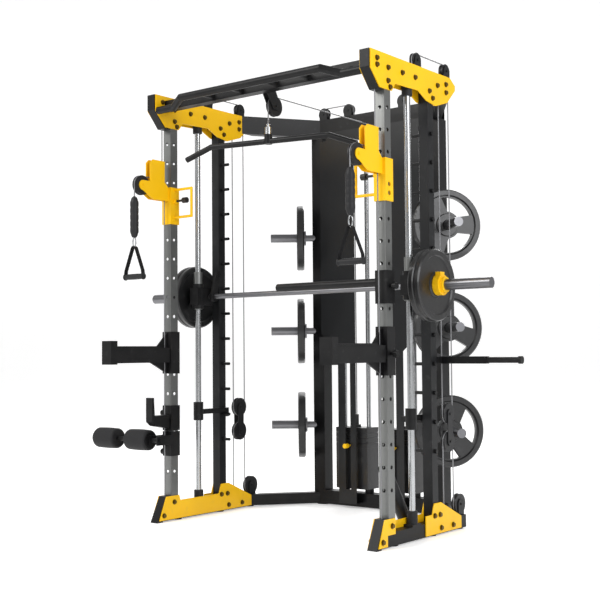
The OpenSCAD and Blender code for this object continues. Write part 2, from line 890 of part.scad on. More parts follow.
module landmine_base() color(black) on_side(1)
    difference() {
        union() {
            box(-plate_x - landmine_ear, -plate_x, landmine_y - 40, landmine_y + 40, 14, 94);
            translate([landmine_x - landmine_ear_gap, 0, 0])
                box(-landmine_ear, 0, landmine_y - 26, landmine_y + 26, 14, landmine_z + 26);
            box(landmine_x - landmine_ear_gap - landmine_ear, -plate_x - landmine_ear,
                landmine_y - 40, landmine_y + 40, 14, 14 + landmine_ear);
        }
        translate([0, landmine_y, landmine_z])
            rod_x(landmine_x - landmine_d, -plate_x + 1, landmine_pin_d + 2 * slide_gap);
    }

module landmine() color(graphite) on_side(1)
    translate([landmine_x, landmine_y, landmine_z])
        rotate([landmine_lean, 0, 0]) {
            difference() {
                cylinder(d = landmine_d, h = landmine_len);
                translate([0, 0, landmine_floor])
                    cylinder(d = landmine_bore, h = landmine_len);
            }
            sphere(d = landmine_d);
            rod_x(-landmine_ear_gap - landmine_ear - 2, landmine_ear_gap + landmine_ear - 1, landmine_pin_d);
        }

// ---- Cables

module strand(y, z0, z1) {
    translate([0, y, z0])
        cylinder(d = cable_d, h = z1 - z0);
}

// The line of one side, from the handle over the trolley, the frame and the stack
module cable_line(side) {
    on_side(side) {
        strand(handle_y, handle_top + part_gap, wheel_z);
        cable_turn(wheel_y, wheel_z, line_r, 90, 180);
        translate([0, 0, wheel_z + line_r])
            rod_y(wheel_y, shoe_y, cable_d);
        cable_turn(shoe_y, wheel_z, line_r, 0, 90);
        strand(run_y, foot_plate_z, wheel_z);
        strand(-half - 38, cage_top + part_gap, frame_h - 166);
        strand(front_wheel_y - small_r, frame_h, top_wheel_z);
        cable_turn(front_wheel_y, top_wheel_z, small_r, 90, 180);
        translate([0, 0, top_wheel_z + small_r])
            rod_y(front_wheel_y, rear_wheel_y, cable_d);
        cable_turn(rear_wheel_y, top_wheel_z, small_r, 0, 90);
        strand(float_y + line_r, float_z + float_span, top_wheel_z);
        cable_turn(float_y, float_z + float_span, line_r, 180, 360);
        strand(float_y - line_r, float_z + float_span, beam_z);
        cable_turn(float_y, float_z - float_span, line_r, 0, 180);
        strand(float_y - line_r, base_top, float_z - float_span);
        strand(float_y + line_r, low_z, float_z - float_span);
        cable_turn(low_y, low_z, line_r, 180, 270);
        translate([0, 0, low_z - line_r])
            rod_y(low_y, base_end, cable_d);
    }
    at_rear(side, 0)
        rotate([0, 0, 90]) {
            strand(-stack_x, head_top + part_gap, top_wheel_z);
            cable_turn(-stack_x - small_r, top_wheel_z, small_r, 0, 90);
            translate([0, 0, top_wheel_z + small_r])
                rod_y(-column_x + small_r, -stack_x - small_r, cable_d);
            cable_turn(-column_x + small_r, top_wheel_z, small_r, 90, 180);
            strand(-column_x, frame_h, top_wheel_z);
        }
}

module cable_left() color(steel) cable_line(-1);
module cable_right() color(steel) cable_line(1);

module lat_cable() color(steel)
    translate([0, post_y, 0]) {
        strand(0, hanger_top + part_gap, lat_wheel_z);
        cable_turn(lat_wheel_y, lat_wheel_z, line_r, 90, 180);
        translate([0, 0, lat_wheel_z + line_r])
            rod_y(lat_wheel_y, column_setback - half, cable_d);
    }

// ---- Smith bar and its carriages

// Shaft in two sleeves, each with a flange, a ring groove outside its collar and a closed end
module smith_bar() color(chrome) {
    sleeve_end = bar_len / 2 - side_x;
    end_cap = 10;
    groove_x = collar_start + collar_len + 2;
    groove_w = 2;
    translate([0, post_y + bar_setback, bar_z])
        rod_x(-bar_len / 2 + end_cap + part_gap, bar_len / 2 - end_cap - part_gap, bar_d);
    both_sides()
        translate([0, bar_setback, bar_z])
            difference() {
                union() {
                    rod_x(sleeve_start, plate_start, 84);
                    rod_x(plate_start, groove_x, sleeve_d);
                    rod_x(groove_x, groove_x + groove_w, sleeve_d - 2);
                    rod_x(groove_x + groove_w, sleeve_end, sleeve_d);
                }
                rod_x(0, sleeve_end - end_cap, bar_d + 2 * slide_gap);
            }
}

bearing_d = rod_d + 16;

module bearing_sleeves() color(steel) both_sides()
    translate([0, rod_setback, bar_z - 70])
        difference() {
            cylinder(d = bearing_d, h = bearing_len);
            translate([0, 0, -1])
                cylinder(d = rod_d + 2 * slide_gap, h = bearing_len + 2);
        }

module carriages() color(black) both_sides()
    difference() {
        union() {
            box(-half - 4, half + 4, rod_setback - 32, bar_setback + 24, bar_z - 46, bar_z + 46);
            translate([0, rod_setback, bar_z - 66])
                cylinder(d = bearing_d + 14, h = 132);
        }
        translate([0, rod_setback, bar_z - 80])
            cylinder(d = bearing_d, h = 160);
        translate([0, bar_setback, bar_z])
            rod_x(-tube, tube, bar_d + 2 * slide_gap);
    }

// Hook in the Y-Z plane about the bar, with a notch that closes over a pin
module hook_outline() {
    notch = pin_d / 2 + 2.5;
    difference() {
        union() {
            circle(d = bar_d + 28);
            translate([0, -12])
                square([hook_radius + notch + 11, 36]);
        }
        circle(d = bar_d);
        translate([hook_radius, 0])
            circle(r = notch);
        translate([hook_radius - notch, -40])
            square([2 * notch, 40]);
    }
}

module bar_hooks() color(black) both_sides()
    translate([-hook_x - 9, bar_setback, bar_z])
        rotate([90, 0, 90])
            linear_extrude(18)
                rotate(hook_angle + hook_release)
                    hook_outline();

module bar_plates() color(black) both_sides()
    for (i = [0, 1])
        translate([plate_start + i * (bar_plate_t + part_gap), bar_setback, bar_z])
            weight_plate(bar_plate_d, bar_plate_t, false);

module bar_collars() color(yellow) both_sides()
    translate([0, bar_setback, bar_z])
        difference() {
            union() {
                rod_x(collar_start, collar_start + 30, 96);
                rod_x(collar_start + 30, collar_start + collar_len, 72);
                box(collar_start, collar_start + 26, -18, 18, 30, 60);
            }
            rod_x(collar_start - 1, collar_start + collar_len + 1, sleeve_d);
        }

// ---- Trolleys and handles

// Cheek of the pulley cage in the Y-Z plane, measured from the trolley's middle
module cage_cheek() {
    nose_z = wheel_z - trolley_z;
    plate_front = shoe_y - 70;
    corner = 18;
    polygon([
        [-trolley_out, 24], [-trolley_out, 92], [-half - 34, 120], [-half - 34, cage_h],
        [plate_front + corner, cage_h], [plate_front, cage_h - corner], [plate_front, nose_z + cheek_w / 2],
        [wheel_y, nose_z + cheek_w / 2], [wheel_y, nose_z - cheek_w / 2], [plate_front + corner, 24]
    ]);
    translate([wheel_y, nose_z])
        circle(d = cheek_w);
}

module trolley() {
    barrel_len = 16;
    loop_x = -150;
    loop_d = 14;
    difference() {
        box(-trolley_out, trolley_out, -trolley_out, trolley_out, trolley_z - trolley_h / 2,
            trolley_z + trolley_h / 2);
        box(-trolley_in, trolley_in, -trolley_in, trolley_in, trolley_z - trolley_h,
            trolley_z + trolley_h);
        translate([0, 0, pull_z])
            rod_x(-tube, 0, pull_pin_d + 2 * slide_gap);
        for (z = [-60, -20])
            translate([0, 0, trolley_z + z])
                rod_x(0, tube, 22);
    }
    for (x = [-cheek_in - cheek_t, cheek_in])
        translate([x, 0, trolley_z])
            rotate([90, 0, 90])
                linear_extrude(cheek_t)
                    cage_cheek();
    translate([0, shoe_y, wheel_z])
        rod_x(-cheek_in, cheek_in, 2 * (line_r - cable_d / 2 - part_gap));
    translate([0, wheel_y, wheel_z])
        rod_x(-cheek_in - cheek_t - 4, cheek_in + cheek_t + 4, axle_d);
    box(-cheek_in, cheek_in, -half - 46, -half - 34, cage_top - 16, cage_top);
    translate([0, 0, pull_z])
        difference() {
            rod_x(-trolley_out - barrel_len, -trolley_out, 26);
            rod_x(-trolley_out - barrel_len - 1, -trolley_out + 1, pull_pin_d + 2 * slide_gap);
        }
    bent_bar([
        [-trolley_out + 1, 0, trolley_z - 60], [loop_x, 0, trolley_z - 60],
        [loop_x, 0, trolley_z + 84], [-trolley_out + 1, 0, trolley_z + 84]
    ], loop_d);
}

module trolley_left() color(yellow) on_side(-1) trolley();
module trolley_right() color(yellow) on_side(1) trolley();

module trolley_wheel(side) color(graphite) on_side(side)
    translate([0, wheel_y, wheel_z])
        pulley(pulley_d, pulley_t, wheel_bore);

module trolley_pulley_left() trolley_wheel(-1);
module trolley_pulley_right() trolley_wheel(1);

// Spring plunger, drawn back from the post
module pull_pin(side) color(black) on_side(side)
    translate([0, 0, pull_z]) {
        rod_x(-118, -half - 0.5, pull_pin_d);
        rod_x(-118, -92, 30);
    }

module pull_pin_left() pull_pin(-1);
module pull_pin_right() pull_pin(1);

// Drop with rounded ends, link, strap triangle and grip
module handle(side) color(black) on_side(side)
    translate([0, handle_y, 0]) {
        apex_z = grip_z + 150;
        drop_d = 44;
        drop_end = apex_z + 48 + drop_d / 2;
        for (z = [drop_end, handle_top - drop_d / 2])
            translate([0, 0, z])
                sphere(d = drop_d);
        translate([0, 0, drop_end])
            cylinder(d = drop_d, h = handle_top - drop_d / 2 - drop_end);
        translate([0, 0, apex_z])
            cylinder(d = 14, h = drop_end - apex_z);
        translate([0, 0, apex_z])
            sphere(d = 22);
        for (x = [-1, 1]) {
            strut([0, 0, apex_z], [x * (grip_half + 4), 0, grip_z], 9);
            translate([x * (grip_half + 4), 0, grip_z])
                rod_x(-6, 6, 34);
        }
        translate([0, 0, grip_z])
            rod_x(-grip_half, grip_half, 30);
    }

module handle_left() handle(-1);
module handle_right() handle(1);

// ---- Lat bar

stud_d = 14;

module lat_hanger() color(chrome)
    translate([0, post_y, 0]) {
        translate([0, 0, lat_z + 34])
            cylinder(d = 34, h = 34);
        translate([0, 0, lat_z + 12])
            cylinder(d = stud_d, h = 22);
        translate([0, 0, lat_z + 68])
            cylinder(d = 18, h = hanger_top - lat_z - 68);
    }

module lat_bar() color(black)
    translate([0, post_y, lat_z])
        rotate([0, 0, lat_turn]) {
            bend = lat_half - 142;
            drop = 53;
            difference() {
                union() {
                    bent_bar([[-lat_half, 0, -drop], [-bend, 0, 0], [bend, 0, 0], [lat_half, 0, -drop]], 28);
                    translate([0, 0, -14])
                        cylinder(d = 40, h = 47);
                }
                translate([0, 0, 10])
                    cylinder(d = stud_d + 2 * slide_gap, h = 40);
            }
        }

// ---- Moving stack parts

// The picked plates hang on a stem that dips into the plates below
module stack_head(side) color(graphite) at_rear(side, stack_x)
    difference() {
        union() {
            translate([0, 0, picked_z + part_gap])
                stack_block();
            translate([0, 0, stack_z + 4])
                cylinder(d = stem_d, h = head_top - stack_z - 4);
            translate([0, 0, stack_top])
                cylinder(d = 46, h = 14);
        }
        translate([0, 0, selector_z])
            rod_y(-stem_d, stem_d, selector_d + 2 * slide_gap);
    }

// Picked plates with the thin gaps between them
module stack_block() {
    seam = 1.2;
    translate([0, 0, -picked_z])
        for (i = [0 : stack_picked - 1])
            stack_plate(picked_z + i * stack_t, stack_t - (i < stack_picked - 1 ? seam : part_gap), stem_d);
}

module stack_head_left() stack_head(-1);
module stack_head_right() stack_head(1);

module selector_pin(side) color(yellow) at_rear(side, stack_x)
    translate([0, 0, selector_z]) {
        head_y = guard_y - column_setback - 10;
        rod_y(head_y, stem_d / 2, selector_d);
        rod_y(head_y - 26, head_y, 26);
    }

module selector_pin_left() selector_pin(-1);
module selector_pin_right() selector_pin(1);

// Block with two wheels that hangs in the loops of the line
module float_block() {
    for (x = [-cheek_in - cheek_t, cheek_in])
        translate([x, float_y, float_z]) {
            for (z = [-float_span, float_span])
                translate([0, 0, z])
                    rod_x(0, cheek_t, cheek_w - 8);
            box(0, cheek_t, -cheek_w / 2 + 4, cheek_w / 2 - 4, -float_span, float_span);
        }
    for (z = [-float_span, float_span])
        translate([0, float_y, float_z + z]) {
            rod_x(-cheek_in - cheek_t - 4, cheek_in + cheek_t + 4, axle_d);
            pulley(pulley_d, pulley_t, axle_d);
        }
}

module float_left() color(black) on_side(-1) float_block();
module float_right() color(black) on_side(1) float_block();

bases();
foot_plates();
end_caps();
floor_pads();
posts();
uprights();
hook_pins();
guide_rods();
rod_mounts();
safety_stop_left();
safety_stop_right();
top_beams();
top_plates();
pullup_frame();
rear_columns();
rear_top_beams();
rear_base_beams();
storage_pegs();
stored_plates();
stack_rods();
stack_plates();
stack_guards();
frame_bolts();
pulley_brackets();
guide_pulleys();
low_pulleys();
lat_pulley();
spotter_arms();
j_hook();
roller_bar();
rollers();
anchor_bar();
side_handle();
landmine_base();
landmine();
cable_left();
cable_right();
lat_cable();
smith_bar();
bearing_sleeves();
carriages();
bar_hooks();
bar_plates();
bar_collars();
trolley_left();
trolley_right();
trolley_pulley_left();
trolley_pulley_right();
pull_pin_left();
pull_pin_right();
handle_left();
handle_right();
lat_hanger();
lat_bar();
stack_head_left();
stack_head_right();
selector_pin_left();
selector_pin_right();
float_left();
float_right();
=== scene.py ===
import math

import bmesh
import bpy
from mathutils import Matrix, Vector


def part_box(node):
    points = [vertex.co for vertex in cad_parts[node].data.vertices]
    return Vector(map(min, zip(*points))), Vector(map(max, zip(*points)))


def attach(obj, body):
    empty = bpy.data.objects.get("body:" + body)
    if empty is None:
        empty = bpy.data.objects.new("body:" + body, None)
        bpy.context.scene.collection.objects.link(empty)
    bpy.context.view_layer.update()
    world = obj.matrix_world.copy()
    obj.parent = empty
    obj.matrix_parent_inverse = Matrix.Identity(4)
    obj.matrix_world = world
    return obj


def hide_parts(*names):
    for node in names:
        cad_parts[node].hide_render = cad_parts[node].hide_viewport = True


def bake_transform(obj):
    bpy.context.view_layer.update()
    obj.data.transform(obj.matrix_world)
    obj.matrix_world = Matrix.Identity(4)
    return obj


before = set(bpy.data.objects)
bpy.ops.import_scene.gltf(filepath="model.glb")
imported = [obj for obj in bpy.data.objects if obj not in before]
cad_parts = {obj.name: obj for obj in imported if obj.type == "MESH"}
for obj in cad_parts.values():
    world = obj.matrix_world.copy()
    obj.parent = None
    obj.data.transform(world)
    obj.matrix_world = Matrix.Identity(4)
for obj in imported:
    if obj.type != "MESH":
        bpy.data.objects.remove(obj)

bl_info = {
    "name": "Smith Machine Finisher",
    "version": (1, 0, 0),
    "blender": (4, 5, 0),
    "location": "View3D > Sidebar > Smith Machine",
    "description": "Finishes the frame, strings its lines and dresses its pads, grips and stage",
    "category": "Object",
}

SIDES = (("left", -1), ("right", 1))

# Sizes of the line's course that the frame's boxes don't give
LINE_TURN = 0.0463       # radius of a line on a large wheel
SMALL_TURN = 0.0313      # and on a small one
SMALL_WHEEL = 0.035      # radius of a small wheel
SHOE_BEHIND = 0.118      # from a trolley's wheel to the shoe behind it
FOOT_BLOCK_TOP = 0.128   # height of the block that a line enters at the foot of a post
NOSE_ANCHOR = 0.166      # from the top of the beams down to the line's end under the nose
NOSE_RUN = 0.038         # from a post's face to that line
FLOAT_END = 0.050        # from either end of a floating block to its wheel's axis
COLUMN_HALF = 0.0375
LINE_SIDES = 12

# Sizes of a foam roller
ROLLER_LENGTH = 0.152
ROLLER_BORE = 0.0122     # radius
ROLLER_SHOULDER = 0.012

# Sizes of a strap handle
APEX_ABOVE_GRIP = 0.150
DISC_RADIUS = 0.017      # of the discs at the grip's ends, as the frame has them
DROP_ABOVE_APEX = 0.048
DROP_RADIUS = 0.0215
DROP_END_RADIUS = 0.012
DROP_WAISTS = 6
WAIST_DEPTH = 0.0014
LINK_HALF_WIDTH = 0.0105
LINK_HALF_HEIGHT = 0.0245
LINK_WIRE = 0.0032
STRAP_THICKNESS = 0.0022
STRAP_HALF_WIDTH = 0.0125
GRIP_HALF = 0.060
GRIP_RADIUS = 0.0142
GRIP_RIB = 0.0007
GRIP_CROWN = 0.0012
DISC_THICKNESS = 0.008

# Sizes of the stage
FLOOR_WIDTH = 44.0
FLOOR_FRONT = 16.0
FLOOR_BACK = 14.0
WALL_HEIGHT = 14.0
WALL_CURVE = 3.0
LIGHT_TARGET = (0, 0, 1.1)

# Camera: angles in degrees, roll in radians, lens in millimetres; its place is counted from the front
# posts' centre line
CAMERA = {
    "azimuth": 37.975,
    "pitch": 2.746,
    "roll": -0.00807,
    "lens": 64.54,
    "sensor": 36.0,
    "place": (3.3085, -3.9984, 0.8624),
}


# ---- Stations read from the frame


def middle(node):
    low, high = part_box(node)
    return Vector([(a + b) / 2 for a, b in zip(low, high)])


def low(node):
    return Vector(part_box(node)[0])


def high(node):
    return Vector(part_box(node)[1])


# ---- Shader maths

# Sockets of a Mix node that mixes colours: factor, first and second colour, and the mixed colour
MIX_INPUTS = (0, 6, 7)
MIX_OUTPUT = 2


class Value:
    """A socket of a material that takes part in plain expressions."""

    def __init__(self, paint, socket):
        self.paint, self.socket = paint, socket

    def _math(self, operation, a, b):
        return self.paint.node("ShaderNodeMath", {"operation": operation}, a, b)

    def __add__(self, other):
        return self._math("ADD", self, other)

    def __radd__(self, other):
        return self._math("ADD", other, self)

    def __sub__(self, other):
        return self._math("SUBTRACT", self, other)

    def __rsub__(self, other):
        return self._math("SUBTRACT", other, self)

    def __mul__(self, other):
        return self._math("MULTIPLY", self, other)

    def __rmul__(self, other):
        return self._math("MULTIPLY", other, self)


class Paint:
    """Builds one material round a Principled shader."""

    def __init__(self, name, colour, roughness, metallic=0.0, coat=0.0, specular=0.5):
        self.material = bpy.data.materials.new(name)
        self.material.use_nodes = True
        self.tree = self.material.node_tree
        self.shader = self.tree.nodes["Principled BSDF"]
        self.set("Base Color", (*colour, 1))
        self.set("Roughness", roughness)
        self.set("Metallic", metallic)
        self.set("Coat Weight", coat)
        self.set("Specular IOR Level", specular)
        self.place = self.node("ShaderNodeTexCoord", {}, output="Object")

    def set(self, name, value):
        socket = self.shader.inputs[name]
        if isinstance(value, Value):
            self.tree.links.new(value.socket, socket)
        else:
            socket.default_value = value

    def node(self, kind, settings, *values, output=0, **named):
        node = self.tree.nodes.new(kind)
        for key, value in settings.items():
            if key == "stops":
                ramp = node.color_ramp
                for i, (position, shade) in enumerate(value):
                    stop = ramp.elements[i] if i < 2 else ramp.elements.new(position)
                    stop.position = position
                    stop.color = (shade, shade, shade, 1) if isinstance(shade, (int, float)) else (*shade, 1)
            else:
                setattr(node, key, value)
        for key, value in list(enumerate(values)) + [(k.replace("_", " "), v) for k, v in named.items()]:
            socket = node.inputs[key]
            if isinstance(value, Value):
                self.tree.links.new(value.socket, socket)
            else:
                socket.default_value = value
        return Value(self, node.outputs[output])

    def stretched(self, x, y, z):
        """The object's own coordinates, scaled along each axis."""
        return self.node("ShaderNodeMapping", {}, Vector=self.place, Scale=(x, y, z))

    def noise(self, scale, detail=3.0, vector=None, roughness=0.55):
        return self.node(
            "ShaderNodeTexNoise", {}, output="Fac", Vector=vector or self.place,
            Scale=scale, Detail=detail, Roughness=roughness,
        )

    def ramp(self, value, *stops):
        return self.node("ShaderNodeValToRGB", {"stops": stops}, output="Color", Fac=value)

    def blend(self, factor, first, second):
        """Colour that goes from first to second."""
        colours = [value if isinstance(value, Value) else (*value, 1) for value in (first, second)]
        node = self.tree.nodes.new("ShaderNodeMix")
        node.data_type = "RGBA"
        for index, value in zip(MIX_INPUTS, (factor, *colours)):
            if isinstance(value, Value):
                self.tree.links.new(value.socket, node.inputs[index])
            else:
                node.inputs[index].default_value = value
        return Value(self, node.outputs[MIX_OUTPUT])

    def bump(self, height, distance, strength=1.0):
        self.set("Normal", self.node(
            "ShaderNodeBump", {}, output="Normal", Height=height, Distance=distance, Strength=strength,
        ))


def darker(colour, factor):
    return tuple(c * factor for c in colour)


def powder_coat(name, colour, roughness, chips=0.5, coat=0.04):
    """Oven-cured coat: orange peel, dust in the hollows and a few rubbed places."""
    paint = Paint(name, colour, roughness, coat=coat, specular=0.22)
    cloud = paint.noise(3.0, 5.0)
    rub = paint.ramp(paint.noise(26.0, 6.0), (0.60, 0.0), (0.74, 1.0))
    dust = paint.ramp(paint.noise(7.0, 4.0), (0.45, 0.0), (0.85, 1.0))
    tone = paint.blend(cloud, darker(colour, 0.86), darker(colour, 1.10))
    worn = paint.blend(rub * chips * 0.35, tone, tuple(0.5 * c + 0.06 for c in colour))
    paint.set("Base Color", paint.blend(dust * 0.02, worn, (0.45, 0.44, 0.42)))
    paint.set("Roughness", roughness + (cloud - 0.5) * 0.12 + dust * 0.10 - rub * 0.05)
    paint.bump(paint.noise(700.0, 2.0), 0.0002, 0.35)
    return paint.material


def brushed_metal(name, colour, roughness, direction):
    """Metal with fine lines along one axis and slow cloudy change."""
    paint = Paint(name, colour, roughness, metallic=1.0)
    lines = paint.noise(1.0, 3.0, paint.stretched(*direction))
    cloud = paint.noise(4.0, 4.0)
    paint.set("Base Color", paint.blend(cloud, darker(colour, 0.80), darker(colour, 1.12)))
    paint.set("Roughness", roughness + (lines - 0.5) * 0.22 + (cloud - 0.5) * 0.10)
    paint.bump(lines, 0.0002, 0.3)
    return paint.material


def plated(name, colour, roughness):
    """Polished plating with a haze of fingermarks and fine scratches."""
    paint = Paint(name, colour, roughness, metallic=1.0)
    haze = paint.ramp(paint.noise(14.0, 5.0), (0.40, 0.0), (0.80, 1.0))
    scratch = paint.ramp(paint.noise(1.0, 2.0, paint.stretched(900, 900, 18)), (0.62, 0.0), (0.70, 1.0))
    paint.set("Roughness", roughness + haze * 0.10 + scratch * 0.10)
    paint.set("Base Color", paint.blend(haze * 0.5, colour, darker(colour, 0.82)))
    paint.bump(scratch, 0.00005, 0.3)
    return paint.material


def rubbery(name, colour, roughness, grain=900.0, depth=0.0003):
    """Rubber or foam: matte, finely pitted, paler where it is handled."""
    paint = Paint(name, colour, roughness, specular=0.35)
    cloud = paint.noise(9.0, 5.0)
    grit = paint.noise(grain, 2.0)
    paint.set("Base Color", paint.blend(cloud, darker(colour, 0.75), darker(colour, 1.6)))
    paint.set("Roughness", roughness + (cloud - 0.5) * 0.16)
    paint.bump(grit, depth, 0.5)
    return paint.material


def cast_enamel(name, colour, roughness):
    """Black enamel over a cast face: soft lumps, fine sand and rubbed edges."""
    paint = Paint(name, colour, roughness, coat=0.25)
    lumps = paint.noise(60.0, 3.0)
    sand = paint.noise(420.0, 3.0)
    rub = paint.ramp(paint.noise(18.0, 6.0), (0.58, 0.0), (0.72, 1.0))
    paint.set("Base Color", paint.blend(rub * 0.5, colour, tuple(c + 0.025 for c in colour)))
    paint.set("Roughness", roughness + (lumps - 0.5) * 0.16 + rub * 0.08)
    paint.bump(lumps * 0.7 + sand * 0.3, 0.0008, 0.45)
    return paint.material


def smoked_panel(name, colour, roughness):
    """Glossy dark screen."""
    paint = Paint(name, colour, roughness, coat=0.06, specular=0.25)
    smear = paint.noise(5.0, 5.0)
    paint.set("Base Color", paint.blend(smear, darker(colour, 0.8), darker(colour, 1.2)))
    paint.set("Roughness", roughness + (smear - 0.5) * 0.08)
    paint.bump(paint.noise(300.0, 2.0), 0.0001, 0.15)
    return paint.material


def wire_rope(name, colour, roughness, pitch):
    """Nylon-sheathed wire rope: the lay of the strands shows as slanted bands."""
    paint = Paint(name, colour, roughness, metallic=0.4, coat=0.3)
    bands = paint.node(
        "ShaderNodeTexWave", {"wave_type": "BANDS", "bands_direction": "DIAGONAL"}, output="Fac",
        Vector=paint.place, Scale=pitch, Distortion=0.5,
    )
    paint.set("Base Color", paint.blend(bands, darker(colour, 0.7), darker(colour, 1.15)))
    paint.set("Roughness", roughness + (bands - 0.5) * 0.15)
    paint.bump(bands, 0.0004, 0.5)
    return paint.material


def webbing(name, colour):
    """Woven strap: fine ribs along and across."""
    paint = Paint(name, colour, 0.8, specular=0.2)
    ribs = paint.node(
        "ShaderNodeTexWave", {"wave_type": "BANDS", "bands_direction": "Z"}, output="Fac",
        Vector=paint.place, Scale=180.0,
    )
    cross = paint.node(
        "ShaderNodeTexWave", {"wave_type": "BANDS", "bands_direction": "X"}, output="Fac",
        Vector=paint.place, Scale=240.0,
    )
    weave = ribs * cross
    paint.set("Base Color", paint.blend(weave, darker(colour, 0.6), darker(colour, 1.9)))
    paint.set("Roughness", 0.72 + weave * 0.15)
    paint.bump(weave, 0.0006, 0.7)
    return paint.material


# ---- Mesh helpers


def finish_mesh(name, mesh_builder, material, body=None, node=None, smooth=True, bevel=0.0):
    """Turns a bmesh into an object with its finish, its body and the node it stands for."""
    bmesh.ops.remove_doubles(mesh_builder, verts=mesh_builder.verts, dist=1e-6)
    bmesh.ops.recalc_face_normals(mesh_builder, faces=mesh_builder.faces)
    mesh = bpy.data.meshes.new(name)
    mesh_builder.to_mesh(mesh)
    mesh_builder.free()
    for face in mesh.polygons:
        face.use_smooth = smooth
    piece = bpy.data.objects.new(name, mesh)
    bpy.context.scene.collection.objects.link(piece)
    mesh.materials.append(material)
    if bevel:
        edge = piece.modifiers.new("edge", "BEVEL")
        edge.width, edge.segments, edge.limit_method = bevel, 2, "ANGLE"
        edge.angle_limit = math.radians(35)
    if smooth:
        mesh.set_sharp_from_angle(angle=math.radians(38))
    if node:
        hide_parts(node)
    if body:
        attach(piece, body)
    return piece


def sweep(builder, points, radius, sides=14, capped=True):
    """Tube along a list of points."""
    points = [Vector(p) for p in points]
    rings = []
    across = None
    for i, point in enumerate(points):
        ahead = points[min(i + 1, len(points) - 1)] - points[max(i - 1, 0)]
        ahead.normalize()
        if across is None:
            across = ahead.orthogonal().normalized()
        across = (across - ahead * across.dot(ahead)).normalized()
        up = ahead.cross(across)
        rings.append([
            builder.verts.new(point + radius * (math.cos(a) * across + math.sin(a) * up))
            for a in (2 * math.pi * k / sides for k in range(sides))
        ])
    for one, two in zip(rings, rings[1:]):
        for k in range(sides):
            builder.faces.new((one[k], one[(k + 1) % sides], two[(k + 1) % sides], two[k]))
    if capped:
        builder.faces.new(list(reversed(rings[0])))
        builder.faces.new(rings[-1])


def lathe(builder, profile, centre, axis, sides=48):
    """Solid of revolution: profile is a list of (radius, distance along the axis)."""
    centre, axis = Vector(centre), Vector(axis).normalized()
    across = axis.orthogonal().normalized()
    up = axis.cross(across)
    rings = []
    for radius, along in profile:
        if radius < 1e-7:
            rings.append([builder.verts.new(centre + axis * along)])
            continue
        rings.append([
            builder.verts.new(centre + axis * along + radius * (math.cos(a) * across + math.sin(a) * up))
            for a in (2 * math.pi * k / sides for k in range(sides))
        ])
    for one, two in zip(rings, rings[1:]):
        for k in range(sides):
            n = (k + 1) % sides
            if len(one) == 1:
                builder.faces.new((one[0], two[n], two[k]))
            elif len(two) == 1:
                builder.faces.new((one[k], one[n], two[0]))
            else:
                builder.faces.new((one[k], one[n], two[n], two[k]))


def arc_points(centre, radius, start, end, plane="YZ", steps=14):
    """Points on an arc; angles in degrees from the plane's first axis."""
    points = []
    for i in range(steps + 1):
        a = math.radians(start + (end - start) * i / steps)
        across, up = math.cos(a), math.sin(a)
        offset = Vector((0, across, up)) if plane == "YZ" else Vector((across, 0, up))
        points.append(Vector(centre) + radius * offset)
    return points


# ---- Properties


class SmithMachineLook(bpy.types.PropertyGroup):
    """Colours and fine sizes that a user would change."""

    accent: bpy.props.FloatVectorProperty(
        name="Accent Colour", description="Coat of the gussets and trolleys", subtype="COLOR",
        size=3, min=0, max=1, default=(0.88, 0.50, 0.003),
    )
    frame_coat: bpy.props.FloatVectorProperty(
        name="Frame Colour", description="Coat of the frame tubes", subtype="COLOR",
        size=3, min=0, max=1, default=(0.0045, 0.0045, 0.005),
    )
    upright_coat: bpy.props.FloatVectorProperty(
        name="Upright Colour", description="Coat of the rear uprights", subtype="COLOR",
        size=3, min=0, max=1, default=(0.0085, 0.009, 0.010),
    )
    post_metal: bpy.props.FloatVectorProperty(
        name="Post Metal", description="Bare metal of the front posts", subtype="COLOR",
        size=3, min=0, max=1, default=(0.23, 0.235, 0.23),
    )
    line_radius: bpy.props.FloatProperty(
        name="Line Radius", description="Radius of the lines", subtype="DISTANCE", unit="LENGTH",
        default=0.003, min=0.001, max=0.006,
    )
    foam_crown: bpy.props.FloatProperty(
        name="Foam Crown", description="How far a foam roller swells in its middle", subtype="DISTANCE",
        unit="LENGTH", default=0.0015, min=0.0, max=0.004,
    )


# ---- Finishes


def finishes(look):
    accent, coat = tuple(look.accent), tuple(look.frame_coat)
    return {
        "yellow": powder_coat("yellow_coat", accent, 0.38, coat=0.10),
        "black": powder_coat("black_coat", coat, 0.42),
        "graphite": powder_coat("graphite_coat", tuple(look.upright_coat), 0.40),
        "post": brushed_metal("post_metal", tuple(look.post_metal), 0.42, (60, 60, 2)),
        "chrome": plated("chrome_plate", (0.46, 0.47, 0.48), 0.20),
        "satin": plated("satin_chrome", (0.20, 0.20, 0.21), 0.30),
        "bolt": brushed_metal("bolt_oxide", (0.16, 0.11, 0.03), 0.45, (80, 80, 80)),
        "rubber": rubbery("buffer_rubber", (0.008, 0.008, 0.009), 0.62),
        "foam": rubbery("roller_foam", (0.010, 0.010, 0.011), 0.72, 1400.0, 0.0005),
        "grip": rubbery("grip_rubber", (0.008, 0.008, 0.009), 0.55, 1100.0),
        "iron": cast_enamel("plate_enamel", (0.004, 0.004, 0.0045), 0.40),
        "stack": cast_enamel("stack_enamel", (0.006, 0.006, 0.007), 0.45),
        "plastic": rubbery("moulded_plastic", (0.009, 0.009, 0.010), 0.40, 500.0, 0.0001),
        "panel": smoked_panel("smoked_panel", (0.012, 0.0125, 0.0135), 0.30),
        "rope": wire_rope("sheathed_rope", (0.22, 0.22, 0.23), 0.35, 90.0),
        "strap": webbing("strap_webbing", (0.008, 0.008, 0.009)),
    }


